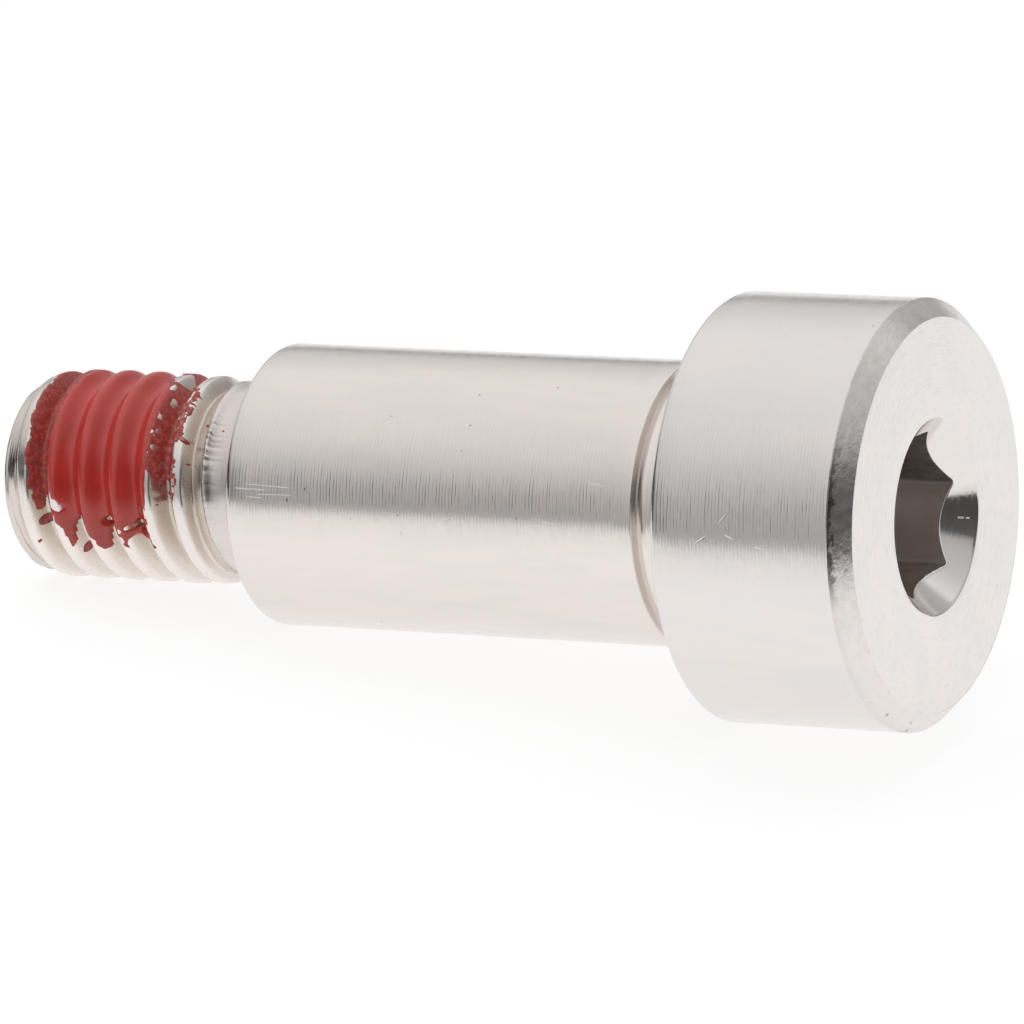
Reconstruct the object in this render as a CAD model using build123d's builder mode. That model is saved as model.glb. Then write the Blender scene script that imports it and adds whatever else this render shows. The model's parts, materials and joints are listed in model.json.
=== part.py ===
from build123d import *
from math import cos, radians, sin, tan
import os

# Headed shoulder bolt with a hex socket, a rolled thread and a fused nylon locking patch.
# Sizes are in millimetres. Along the bolt's axis a station is measured from the underside of the
# head: positive through the head, negative towards the threaded tip. Angles about the axis start
# at the side that faces up when the bolt lies at rest, and turn right-handed seen along the axis.

# Head
head_diameter = 9.42
head_height = 4.60
head_chamfer = 0.40
rim_round = 0.10                 # the head's lower rim and the shoulder's threaded rim

# Shoulder, with the relief groove that lets a bearing seat against the head
shoulder_diameter = 6.30
shoulder_length = 11.25          # underside of the head to the shoulder's threaded end
relief_depth = 0.32
relief_width = 1.22
relief_fillet = 0.28             # at the shoulder's side
relief_edge = 0.04               # broken edge between the relief and the ground shoulder

# The fillets beside the two seating faces end this far outside what passes through a seated part.
seat_margin = 0.02

# Hex socket
hex_across_flats = 3.18
hex_corner_radius = 0.15
hex_depth = 2.60
hex_turn = 33.4                  # angle of one corner about the axis
drill_allowance = 0.03           # the pilot hole is this much narrower than the flats
drill_point_angle = 118
countersink_rim = 0.324          # the mouth's radius beyond the hex's sharp corners
countersink_angle = 82

# Thread, No. 10-32, right-handed
thread_length = 6.30             # shoulder end to tip
thread_diameter = 4.69
thread_pitch = 25.4 / 32
neck_drop = 0.19                 # the plain neck beside the shoulder lies this far under the crests
tip_chamfer = 0.315
tip_land = 0.30                  # plain ring at the tip before the first groove
crest_offset = 0.33              # the crest helix starts this far beyond the tip
crest_fade_start = 2.20          # from the shoulder end: the crests start to sink here
crest_fade_end = 1.30            # and have gone here
root_rise_start = 2.00           # the roots start to rise here
root_rise_end = 1.10             # and meet the plain neck here

# Locking patch, nylon fused over the upper half of the thread
patch_start = 1.95               # from the shoulder end
patch_tip_margin = 0.80          # bare thread between the patch and the tip
patch_centre = 5                 # angle of its middle about the axis
patch_span = 190                 # angle that it covers
patch_cover = 0.05               # thickness over the crests
patch_fill = 0.16                # thickness in the roots
patch_valley = 0.15              # width of the coat's valley floor between two crests

# Dependent sizes
head_fillet = relief_depth + seat_margin
neck_fillet = neck_drop + patch_cover + seat_margin
head_radius = head_diameter / 2
shoulder_radius = shoulder_diameter / 2
relief_radius = shoulder_radius - relief_depth
drill_radius = (hex_across_flats - drill_allowance) / 2
mouth_radius = hex_across_flats / 2 / cos(radians(30)) + countersink_rim
thread_radius = thread_diameter / 2
neck_radius = thread_radius - neck_drop
tip_radius = thread_radius - tip_chamfer
flank_angle = 30                 # each side of the 60 degree thread
full_height = thread_pitch / 2 / tan(radians(flank_angle))
root_radius = thread_radius - 0.625 * full_height
crest_flat = thread_pitch / 8
crest_stock = 0.06               # the swept ridge stands this far over the crests, then is turned down
root_stock = 0.15                # and its foot is sunk this far into the core
shoulder_end = -shoulder_length
tip_end = -(shoulder_length + thread_length)

# Rest: the bolt lies on the head's lower rim and on the shoulder's threaded rim, and its axis drops
# towards the tip. Both rims have the same round, so the tilt is that of the line between them. Where
# the thread's first full crest underneath would stand lower, the bolt lies on that one instead.
low_crest = tip_end - crest_offset + 1.5 * thread_pitch - crest_flat / 2
shoulder_lean = Vector(shoulder_length, 0, head_radius - shoulder_radius).normalized()
thread_lean = Vector(rim_round - low_crest, 0, head_radius - thread_radius).normalized()
rest_lean = shoulder_lean if shoulder_lean.Z < thread_lean.Z else thread_lean
lean_cos = rest_lean.X
lean_sin = rest_lean.Z
seat_height = (head_radius - rim_round) * lean_cos - rim_round * lean_sin + rim_round
face_radius = head_radius - head_chamfer
reach_head = head_height * lean_cos + face_radius * lean_sin
reach_tip = tip_end * lean_cos - tip_radius * lean_sin
bolt_plane = Plane(
    origin=(-(reach_head + reach_tip) / 2, 0, seat_height),
    x_dir=(-lean_sin, 0, lean_cos),
    z_dir=(lean_cos, 0, lean_sin),
)
bolt_axis = Axis(bolt_plane.origin, bolt_plane.z_dir)


def section_at(angle):
    """A plane through the bolt's axis: x is the radius at this angle, y the station."""
    across = bolt_plane.x_dir * cos(radians(angle)) + bolt_plane.y_dir * sin(radians(angle))
    return Plane(bolt_plane.origin, x_dir=across, z_dir=across.cross(bolt_plane.z_dir))

section_plane = section_at(0)


def corner(sketch, radius, station):
    """The outline's corner at a radius and a station along the axis."""
    return sketch.vertices().sort_by_distance((radius, station, 0))[0]


def thread_ridge_outline(crest_radius, crest_width, base_radius):
    """Half-angle flanks from a crest flat down to a base that is sunk into the core."""
    base_width = crest_width + 2 * (crest_radius - base_radius) * tan(radians(flank_angle))
    peak_radius = crest_radius + crest_stock
    peak_width = crest_width - 2 * crest_stock * tan(radians(flank_angle))
    sunk_radius = base_radius - root_stock
    Polyline(
        (sunk_radius, -base_width / 2),
        (base_radius, -base_width / 2),
        (peak_radius, -peak_width / 2),
        (peak_radius, peak_width / 2),
        (base_radius, base_width / 2),
        (sunk_radius, base_width / 2),
        close=True,
    )


def groove_outline(floor_radius, floor_width, top_radius):
    """A valley between two crests: a narrow floor and half-angle sides that open outwards."""
    top_width = floor_width + 2 * (top_radius - floor_radius) * tan(radians(flank_angle))
    middle = thread_pitch / 2
    Polyline(
        (floor_radius, middle - floor_width / 2),
        (top_radius, middle - top_width / 2),
        (top_radius, middle + top_width / 2),
        (floor_radius, middle + floor_width / 2),
        close=True,
    )


# The crest helix starts beyond the tip and ends where the crests have gone.
helix_start = tip_end - crest_offset
helix_height = thread_length + crest_offset - crest_fade_end + thread_pitch / 2

helix_plane = bolt_plane.offset(helix_start)
crest_helix = helix_plane.location * Helix(thread_pitch, helix_height, thread_radius)
ridge_plane = Plane(helix_plane.origin, x_dir=section_plane.x_dir, z_dir=section_plane.z_dir)

with BuildPart() as ridge:
    with BuildSketch(ridge_plane):
        with BuildLine():
            thread_ridge_outline(thread_radius, crest_flat, root_radius)
        make_face()
    sweep(path=crest_helix, is_frenet=True)
    # Chamfered tip, crest diameter and fading run-out, as one turned envelope
    with BuildSketch(section_plane):
        with BuildLine():
            Polyline(
                (0, tip_end),
                (tip_radius, tip_end),
                (thread_radius, tip_end + tip_chamfer),
                (thread_radius, shoulder_end - crest_fade_start),
                (neck_radius, shoulder_end - crest_fade_end),
                (0, shoulder_end - crest_fade_end),
                close=True,
            )
        make_face()
    revolve(axis=bolt_axis, mode=Mode.INTERSECT)

with BuildPart() as bolt:
    # Everything that is turned, as half a section from tip to head face
    with BuildSketch(section_plane) as turned:
        with BuildLine():
            Polyline(
                (0, tip_end),
                (tip_radius, tip_end),
                (tip_radius, tip_end + tip_land),
                (root_radius, tip_end + tip_land + tip_radius - root_radius),
                (root_radius, shoulder_end - root_rise_start),
                (neck_radius, shoulder_end - root_rise_end),
                (neck_radius, shoulder_end),
                (shoulder_radius, shoulder_end),
                (shoulder_radius, -relief_width),
                (relief_radius, -relief_width),
                (relief_radius, 0),
                (head_radius, 0),
                (head_radius, head_height),
                (0, head_height),
                close=True,
            )
        make_face()
        fillet(corner(turned, neck_radius, shoulder_end), neck_fillet)
        fillet(corner(turned, shoulder_radius, shoulder_end), rim_round)
        fillet(corner(turned, shoulder_radius, -relief_width), relief_edge)
        fillet(corner(turned, relief_radius, -relief_width), relief_fillet)
        fillet(corner(turned, relief_radius, 0), head_fillet)
        fillet(corner(turned, head_radius, 0), rim_round)
        chamfer(corner(turned, head_radius, head_height), head_chamfer)
    revolve(axis=bolt_axis)
    add(ridge.part)
    # Hex socket: broached hex, drilled pilot with its point, and the countersunk mouth
    with BuildSketch(bolt_plane.offset(head_height)) as hex_mouth:
        RegularPolygon(hex_across_flats / 2, 6, major_radius=False, rotation=hex_turn - 30)
        fillet(hex_mouth.vertices(), hex_corner_radius)
    extrude(amount=-hex_depth, mode=Mode.SUBTRACT)
    drill_depth = hex_depth + drill_radius / tan(radians(drill_point_angle / 2))
    countersink_depth = mouth_radius / tan(radians(countersink_angle / 2))
    with BuildSketch(section_plane):
        with BuildLine():
            Polyline(
                (0, head_height),
                (drill_radius, head_height),
                (drill_radius, head_height - hex_depth),
                (0, head_height - drill_depth),
                close=True,
            )
        make_face()
    revolve(axis=bolt_axis, mode=Mode.SUBTRACT)
    with BuildSketch(section_plane):
        with BuildLine():
            Polyline(
                (0, head_height),
                (mouth_radius, head_height),
                (0, head_height - countersink_depth),
                close=True,
            )
        make_face()
    revolve(axis=bolt_axis, mode=Mode.SUBTRACT)

# The patch is one sector of coat over the crests. A helical groove lets its outside follow the
# thread, and the bolt's own form is taken out of its inside.
patch_section = section_at(patch_centre - patch_span / 2)
coat_root_radius = root_radius + patch_fill
coat_crest_radius = thread_radius + patch_cover
patch_top = shoulder_end - patch_start
patch_bottom = tip_end + patch_tip_margin

with BuildPart() as coat_groove:
    with BuildSketch(ridge_plane):
        with BuildLine():
            groove_outline(coat_root_radius, patch_valley, coat_crest_radius + crest_stock)
        make_face()
    sweep(path=crest_helix, is_frenet=True)

with BuildPart() as locking_patch:
    with BuildSketch(patch_section):
        with BuildLine():
            Polyline(
                (root_radius - root_stock, patch_bottom),
                (coat_crest_radius, patch_bottom),
                (coat_crest_radius, patch_top),
                (root_radius - root_stock, patch_top),
                close=True,
            )
        make_face()
    revolve(axis=bolt_axis, revolution_arc=patch_span)
    add(coat_groove.part, mode=Mode.SUBTRACT)
    add(bolt.part, mode=Mode.SUBTRACT)

os.makedirs("parts", exist_ok=True)
bolt.part.label = "bolt"
locking_patch.part.label = "locking_patch"
export_step(bolt.part, "parts/bolt.step")
export_step(locking_patch.part, "parts/locking_patch.step")
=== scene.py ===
import json
import math

import bpy
import numpy as np
from mathutils import Matrix, Vector


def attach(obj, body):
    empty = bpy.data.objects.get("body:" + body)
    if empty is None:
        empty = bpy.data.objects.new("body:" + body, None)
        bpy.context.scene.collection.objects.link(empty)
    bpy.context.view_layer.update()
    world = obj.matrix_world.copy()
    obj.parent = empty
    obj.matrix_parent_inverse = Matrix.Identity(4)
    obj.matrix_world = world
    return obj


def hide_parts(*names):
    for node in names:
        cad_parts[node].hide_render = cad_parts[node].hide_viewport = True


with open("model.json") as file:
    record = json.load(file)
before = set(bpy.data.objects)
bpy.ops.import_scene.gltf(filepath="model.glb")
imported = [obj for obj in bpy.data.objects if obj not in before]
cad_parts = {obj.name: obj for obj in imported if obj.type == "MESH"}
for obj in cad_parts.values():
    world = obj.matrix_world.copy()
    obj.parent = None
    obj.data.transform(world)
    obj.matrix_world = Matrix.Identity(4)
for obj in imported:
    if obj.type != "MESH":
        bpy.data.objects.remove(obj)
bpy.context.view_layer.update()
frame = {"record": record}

# A shoulder bolt that lies on a plain floor: one turned steel piece and the nylon coat that locks
# its thread. A station is measured along the bolt's axis from the underside of the head, positive
# through the head. Angles about the axis start at the side that faces up and turn right-handed.
# Shapes are in metres. Materials, and the tables of marks and borders, are in millimetres.

bl_info = {
    "name": "Shoulder bolt",
    "version": (1, 0, 0),
    "blender": (4, 5, 0),
    "location": "3D View > Sidebar > Shoulder bolt",
    "description": "Makes a shoulder bolt with a locking patch, and the floor and light for it",
    "category": "Add Mesh",
}

MM = 1000.0     # millimetres in a metre


# ---------------------------------------------------------------- properties

def length(name, description, default):
    """A length in metres, with its own name and description."""
    return bpy.props.FloatProperty(
        name=name, description=description, default=default, precision=5, unit="LENGTH")


def angle(name, description, degrees):
    """An angle that is stated in degrees."""
    return bpy.props.FloatProperty(
        name=name, description=description, default=math.radians(degrees), subtype="ANGLE")


def amount(name, description, default):
    """A plain number."""
    return bpy.props.FloatProperty(
        name=name, description=description, default=default, precision=3)


def colour(name, description, default):
    """A linear colour without alpha."""
    return bpy.props.FloatVectorProperty(
        name=name, description=description, default=default, subtype="COLOR", size=3, min=0, max=1)


class SteelSettings(bpy.types.PropertyGroup):
    """Sizes and colours of the bolt"""
    head_diameter: length("Head diameter", "Outside of the head", 0.00942)
    head_height: length("Head height", "Underside to face", 0.0046)
    head_chamfer: length("Head chamfer", "At the face's rim", 0.0004)
    shoulder_diameter: length("Shoulder diameter", "Ground shoulder", 0.0063)
    shoulder_length: length("Shoulder length", "Underside of the head to the threaded end", 0.01125)
    relief_depth: length("Relief depth", "Groove beside the head", 0.00032)
    relief_width: length("Relief width", "Groove beside the head", 0.00122)
    relief_fillet: length("Relief fillet", "At the shoulder's side of the groove", 0.0002)
    head_fillet: length("Head fillet", "At the head's side of the groove", 0.00034)
    rim_round: length("Rim round", "Lower rim of the head", 0.0001)
    shoulder_rim: length("Shoulder rim", "Rounding of the threaded rim of the shoulder", 0.0001)
    hex_across_flats: length("Hex across flats", "Socket", 0.00318)
    hex_corner_radius: length("Hex corner radius", "Inside corners of the socket", 0.00015)
    hex_depth: length("Hex depth", "Depth of the flats", 0.0026)
    hex_turn: angle("Hex turn", "One corner's angle about the axis", 33.4)
    drill_diameter: length("Pilot hole", "Drilled before the hex", 0.00315)
    drill_point: angle("Drill point", "Full angle of the pilot hole's end", 118)
    mouth_rim: length("Mouth rim", "Countersink's radius beyond the hex corners", 0.000324)
    mouth_angle: angle("Mouth angle", "Full angle of the countersink", 82)
    thread_length: length("Thread length", "Shoulder to tip", 0.0063)
    thread_diameter: length("Thread diameter", "Over the crests", 0.00469)
    thread_pitch: length("Pitch", "Crest to crest", 0.0254 / 32)
    neck_drop: length("Neck drop", "Plain neck under the crests", 0.00019)
    neck_fillet: length("Neck fillet", "Between neck and shoulder", 0.00026)
    tip_chamfer: length("Tip chamfer", "At the first thread", 0.000315)
    tip_land: length("Tip land", "Plain ring at the tip", 0.0003)
    crest_offset: length("Crest offset", "The crest line starts this far beyond the tip", 0.00033)
    colour: colour("Steel", "Bright turned steel", (0.83, 0.783, 0.745))
    # The socket's colour: partly oil and oxide in the recess, partly painted shade of the recess
    socket_oxide_and_shade: colour("Socket", "Broached flats", (0.485, 0.445, 0.41))
    # Painted shade: the tan of the thread's roots
    root_shade_colour: colour("Roots", "Between the thread's crests", (0.64, 0.565, 0.50))


class PatchSettings(bpy.types.PropertyGroup):
    """Sizes and colours of the nylon coat"""
    far_end: angle("Far end", "Where the coat ends on the side that is turned away", -88)
    thickness: length("Thickness", "Over the crests", 0.00004)
    powder_thickness: length("Powder", "Thin rough coat at both sides", 0.000022)
    fill: length("Fill", "In the roots", 0.00012)
    colour: colour("Nylon", "Where the coat is thick", (0.63, 0.040, 0.029))
    powder_colour: colour("Powder colour", "Where the coat is thin and rough", (0.36, 0.034, 0.025))


class StageSettings(bpy.types.PropertyGroup):
    """Camera and floor"""
    azimuth: angle("Azimuth", "Camera, from the side towards the head", 26.3)
    elevation: angle("Elevation", "Camera, above the horizon", 23.08)
    distance: length("Distance", "Camera to the middle of the view", 0.1935)
    shift_left: length("Aim left", "Middle of the view, left of the face's centre", 0.00917)
    shift_up: length("Aim up", "Middle of the view, above the face's centre", 0.00009)
    lens: amount("Lens", "Focal length in millimetres on a 36 mm sensor", 315.3)
    floor_radius: length("Floor radius", "Round white sheet under the bolt", 0.11)
    floor_colour: colour("Floor", "Pale floor", (0.9, 0.9, 0.9))


# ---------------------------------------------------------------- the bolt's own frame

def mount(name):
    """The place of one of the part's mounts."""
    for entry in frame["record"]["mounts"]:
        if entry["name"] == name:
            return np.array(entry["pos_m"])
    raise ValueError("the part has no mount called " + name)


def bolt_frame(sizes):
    """Origin at the underside of the head, and the directions along, up and aside."""
    face, tip = mount("hex_socket"), mount("thread")
    along = (face - tip) / np.linalg.norm(face - tip)
    up = np.array((-along[2], 0.0, along[0]))
    aside = np.cross(along, up)
    return face - along * sizes.head_height, along, up, aside


def place(sizes, radius, station, turn):
    """Points at a radius, a station and an angle: origin + station along + radius across."""
    origin, along, up, aside = bolt_frame(sizes)
    across = np.cos(turn)[..., None] * up + np.sin(turn)[..., None] * aside
    return origin + station[..., None] * along + radius[..., None] * across


# ---------------------------------------------------------------- shape helpers

def smooth_top(a, b, blend):
    """The higher of two, and where they differ by less than blend a parabola rounds the join."""
    near = np.clip(blend - np.abs(a - b), 0, None) / blend
    return np.maximum(a, b) + near * near * blend / 4


def smooth_low(a, b, blend):
    """The lower of two, rounded in the same way."""
    return -smooth_top(-a, -b, blend)


def ease(low, high, value):
    """0 at low and beyond it, 1 at high and beyond it, and 3t^2 - 2t^3 between them."""
    t = np.clip((value - low) / (high - low), 0, 1)
    return t * t * (3 - 2 * t)


def lattice(rng, u, v, columns):
    """Smooth noise from 0 to 1: random values on whole u and v, eased between, v wraps round."""
    rows = int(np.ceil(u.max())) + 2
    values = rng.random((rows, columns))
    iu, iv = np.floor(u).astype(int), np.floor(v).astype(int)
    fu, fv = ease(0, 1, u - iu), ease(0, 1, v - iv)
    a, b = iv % columns, (iv + 1) % columns
    lower = values[iu, a] * (1 - fv) + values[iu, b] * fv
    upper = values[iu + 1, a] * (1 - fv) + values[iu + 1, b] * fv
    return lower * (1 - fu) + upper * fu


def grain(seed, along, turn, cell, radius):
    """Noise of about 0 to 1 on the bolt's surface: a lattice, plus half of one half as coarse."""
    rng = np.random.default_rng(seed)
    start = along.min()
    total = np.zeros_like(along)
    for share in (1.0, 0.5):
        size = cell * share
        columns = max(3, int(round(2 * np.pi * radius / size)))
        u = (along - start) / size
        v = (turn / (2 * np.pi) % 1) * columns
        total = total + lattice(rng, u, v, columns) * share
    return total / 1.5


def rounded_path(corners):
    """A polyline of (station, radius, round) corners, each turned into an arc of six points."""
    path = [np.array(corners[0][:2])]
    for before, here, after in zip(corners, corners[1:], corners[2:]):
        p, q, r = (np.array(corner[:2]) for corner in (before, here, after))
        if here[2] <= 0:
            path.append(q)
            continue
        a, b = (p - q) / np.linalg.norm(p - q), (r - q) / np.linalg.norm(r - q)
        half = math.acos(float(np.clip(a @ b, -1, 1))) / 2
        reach = here[2] / math.tan(half)
        centre = q + (a + b) / np.linalg.norm(a + b) * here[2] / math.sin(half)
        first, last = q + a * reach - centre, q + b * reach - centre
        sweep = math.atan2(first[0] * last[1] - first[1] * last[0], first @ last)
        for t in np.linspace(0, sweep, 6):
            turned = (first[0] * math.cos(t) - first[1] * math.sin(t),
                      first[0] * math.sin(t) + first[1] * math.cos(t))
            path.append(centre + turned)
    path.append(np.array(corners[-1][:2]))
    return np.array(path)


def denser(path, step):
    """The same polyline with no run longer than step."""
    runs = np.linalg.norm(np.diff(path, axis=0), axis=1)
    pieces = [np.linspace(a, b, max(1, math.ceil(run / step)), endpoint=False)
              for a, b, run in zip(path, path[1:], runs)]
    return np.vstack(pieces + [path[-1:]])


def put_mesh(name, points, quads, triangles=None):
    """A mesh object at the origin, from rows of points and rows of corner numbers."""
    mesh = bpy.data.meshes.new(name)
    kinds = [quads] if triangles is None else [quads, triangles]
    corners = np.concatenate([faces.astype(np.int32).ravel() for faces in kinds])
    counts = np.concatenate([np.full(len(faces), faces.shape[1], np.int32) for faces in kinds])
    starts = np.concatenate(([0], np.cumsum(counts)[:-1])).astype(np.int32)
    mesh.vertices.add(len(points))
    mesh.vertices.foreach_set("co", points.astype(np.float32).ravel())
    mesh.loops.add(len(corners))
    mesh.loops.foreach_set("vertex_index", corners)
    mesh.polygons.add(len(counts))
    mesh.polygons.foreach_set("loop_start", starts)
    mesh.polygons.foreach_set("loop_total", counts)
    mesh.polygons.foreach_set("use_smooth", np.full(len(counts), True))
    mesh.update(calc_edges=True)
    if mesh.validate():
        raise RuntimeError("the mesh of " + name + " has bad faces")
    thing = bpy.data.objects.new(name, mesh)
    bpy.context.scene.collection.objects.link(thing)
    return thing


def add_attribute(thing, name, values):
    """One number for each point."""
    layer = thing.data.attributes.new(name, "FLOAT", "POINT")
    layer.data.foreach_set("value", values.astype(np.float32).ravel())


# ---------------------------------------------------------------- the thread

FACING = math.radians(68)               # the angle at which helix stations are read
EDGE = 0.00003                          # rounding of the tip's and the mouth's edges
FINE_ROUND = 0.00002                    # rounding of the head chamfer's edges
THREAD_SLOPE = math.tan(math.radians(30))
THREAD_DEPTH = 0.625                    # share of a sharp ridge's height
CREST_FLAT = 0.12                       # half the crest's width, as a share of the pitch
STEEL_ROUNDS = (0.000025, 0.00007)      # blends at the crests and roots of the bare thread
COAT_ROUNDS = (0.00014, 0.00030)        # and of the coated one
JOIN_ROUND = 0.00002                    # blend where the thread meets the blank it is rolled on

# The blank's outside: the tip's chamfer ends and full crests start this far from the tip, and full
# crests end this far from the shoulder. Beyond that they fade out, by (distance, height over neck)
CHAMFER_END, FULL_FROM_TIP, FULL_FROM_END = 0.000175, 0.00085, 0.0018
FADING, FADED = (0.00095, 0.00007), (0.00075, -0.00003)
# Its core: the rise of the tip's land, and where the roots run up into the neck
LAND_RISE, RUN_UP_START, RUN_UP_END = 0.00007, 0.0020, 0.0009


def thread_ends(sizes):
    """Stations of the shoulder's end and of the tip."""
    return -sizes.shoulder_length, -sizes.shoulder_length - sizes.thread_length


def helix_station(sizes, station, turn):
    """The station that a point has once the helix through it is followed round to FACING."""
    return station - sizes.thread_pitch * (turn - FACING) / (2 * np.pi)


def from_crest(sizes, station, turn):
    """Distance along the axis to the nearest crest line."""
    start = thread_ends(sizes)[1] - sizes.crest_offset
    phase = (station - start) / sizes.thread_pitch - turn / (2 * np.pi)
    return np.abs(phase - np.round(phase)) * sizes.thread_pitch


def thread_surface(sizes, station, turn, crest_round, root_round, floor_lift=0.0):
    """Radius of the threaded end: 60 degree ridges on a helix, cut by the blank's outside.

    A ridge's flank falls by the distance from its crest line over tan 30. The lower of ridge and
    outside is taken, and then the higher of that and the core, each with a rounded join.
    """
    pitch, crest = sizes.thread_pitch, sizes.thread_diameter / 2
    root = crest - THREAD_DEPTH * pitch / 2 / THREAD_SLOPE
    end, tip = thread_ends(sizes)
    tip_radius, neck = crest - sizes.tip_chamfer, crest - sizes.neck_drop
    flank = crest - (from_crest(sizes, station, turn) - CREST_FLAT * pitch) / THREAD_SLOPE
    ridge = smooth_low(flank, crest + 0 * flank, crest_round)
    ridge = smooth_top(ridge, root + floor_lift, root_round)
    outside = np.interp(
        station,
        (tip, tip + CHAMFER_END, tip + FULL_FROM_TIP,
         end - FULL_FROM_END, end - FADING[0], end - FADED[0]),
        (tip_radius, tip_radius + CHAMFER_END, crest, crest, neck + FADING[1], neck + FADED[1]))
    land, land_radius = tip + sizes.tip_land + EDGE, tip_radius + LAND_RISE
    core = np.interp(
        station,
        (tip, land, land + land_radius - root, end - RUN_UP_START, end - RUN_UP_END),
        (tip_radius, land_radius, root, root, neck))
    return smooth_top(smooth_low(ridge, outside, JOIN_ROUND), core, JOIN_ROUND)


# ---------------------------------------------------------------- the steel piece

COLUMNS = 360               # points round each ring
THREAD_RINGS = 150
NECK_LENGTH = 0.00105       # the rings of the thread end this far before the shoulder
NECK_STEP = 0.00004         # and the plain neck starts this far after them
RELIEF_RIM = 0.00004        # rounding of the shoulder's rim at the groove
LONGEST_RUN = 0.0005        # between two rings
TOOTH_REACH, TOOTH_HEIGHT = 0.00007, 0.00015
TEETH_HIGH, TEETH_DARK = 0.00099, 0.00097   # from the shoulder to the teeth's shape and colour
BURR_FLAT, LIT_FLAT = 150, 210              # middles of two flats, in degrees from the first corner
BURR_HEIGHT = 0.00005
TURNED_MAP = "turned"
MAP_SCALE = 40              # map units for a metre along the profile
THREAD, WALL = 1, 5         # places of two parts in the order tip, thread, outside, lip, cone, wall


def mouth_radius(sizes):
    """The countersink's radius at the face: the hex corner's plus the rim."""
    return sizes.hex_across_flats / 2 / math.cos(math.pi / 6) + sizes.mouth_rim


def hex_radius(sizes, turn):
    """Distance from the axis to the hex wall, whose corners are rounded.

    Flat: half the width over the cosine of the angle from its middle. Corner: a circle about a
    point on the corner's line, so the point's distance times the cosine, plus half the chord.
    """
    half = sizes.hex_across_flats / 2
    corner = sizes.hex_corner_radius
    off_corner = (turn - sizes.hex_turn + math.pi / 6) % (math.pi / 3) - math.pi / 6
    flat = half / np.cos(math.pi / 6 - np.abs(off_corner))
    middle = (half - corner) / math.cos(math.pi / 6)
    inside = np.clip(corner ** 2 - (middle * np.sin(off_corner)) ** 2, 0, None)
    arc = middle * np.cos(off_corner) + np.sqrt(inside)
    reach = math.atan2(corner * 0.5, middle + corner * math.cos(math.pi / 6))
    return np.where(np.abs(off_corner) < reach, np.minimum(arc, flat), flat)


def torn_grain(station, turn, crest):
    """The grain that both the teeth's shape and their colour follow."""
    return grain(31, station * 0.6, turn, 0.00007, crest)


def near_last_crest(sizes, station, turn, before_end):
    """A bell curve over the axis, on the half-formed last crest this far before the shoulder."""
    from_end = helix_station(sizes, station, turn) + sizes.shoulder_length
    return np.exp(-((from_end + before_end) / TOOTH_REACH) ** 2)


def run_out_teeth(sizes, station, turn):
    """Small torn teeth on the last, half-formed crest beside the neck: bell curve times grain."""
    torn = torn_grain(station, turn, sizes.thread_diameter / 2)
    return near_last_crest(sizes, station, turn, TEETH_HIGH) * (torn - 0.45) * TOOTH_HEIGHT


def threaded_end(sizes, turn):
    """Grids of station and radius: thread plus teeth, held under a quarter circle at the tip."""
    end, tip = thread_ends(sizes)
    tip_radius = sizes.thread_diameter / 2 - sizes.tip_chamfer
    quarter = EDGE * (1 - np.cos(np.linspace(math.pi / 7, math.pi / 2, 4)))
    run = np.linspace(tip + EDGE * 1.6, end - NECK_LENGTH, THREAD_RINGS)
    station, angles = np.meshgrid(np.concatenate((tip + quarter, run)), turn, indexing="ij")
    radius = thread_surface(sizes, station, angles, *STEEL_ROUNDS)
    radius = radius + run_out_teeth(sizes, station, angles)
    depth = np.clip(EDGE - (station - tip), 0, None)
    rounded = tip_radius - EDGE + np.sqrt(EDGE ** 2 - depth ** 2)
    return station, np.where(depth > 0, np.minimum(radius, rounded), radius)


def outside_profile(sizes):
    """Stations and radii from the neck to the face's inner edge: rounded corners, short runs."""
    end, top = -sizes.shoulder_length, sizes.head_height
    head, shoulder = sizes.head_diameter / 2, sizes.shoulder_diameter / 2
    neck = sizes.thread_diameter / 2 - sizes.neck_drop
    relief, mouth = shoulder - sizes.relief_depth, mouth_radius(sizes)
    path = rounded_path([
        (end - NECK_LENGTH + NECK_STEP, neck, 0),
        (end, neck, sizes.neck_fillet),
        (end, shoulder, sizes.shoulder_rim),
        (-sizes.relief_width, shoulder, RELIEF_RIM),
        (-sizes.relief_width, relief, sizes.relief_fillet),
        (0, relief, sizes.head_fillet),
        (0, head, sizes.rim_round),
        (top - sizes.head_chamfer, head, FINE_ROUND),
        (top, head - sizes.head_chamfer, FINE_ROUND),
        (top, mouth - 2 * EDGE, 0),
    ])
    path = denser(path, LONGEST_RUN)
    in_mouth = (path[:, 0] > top - 1e-7) & (path[:, 1] < mouth + 2 * EDGE)
    return path[~in_mouth]


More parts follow.
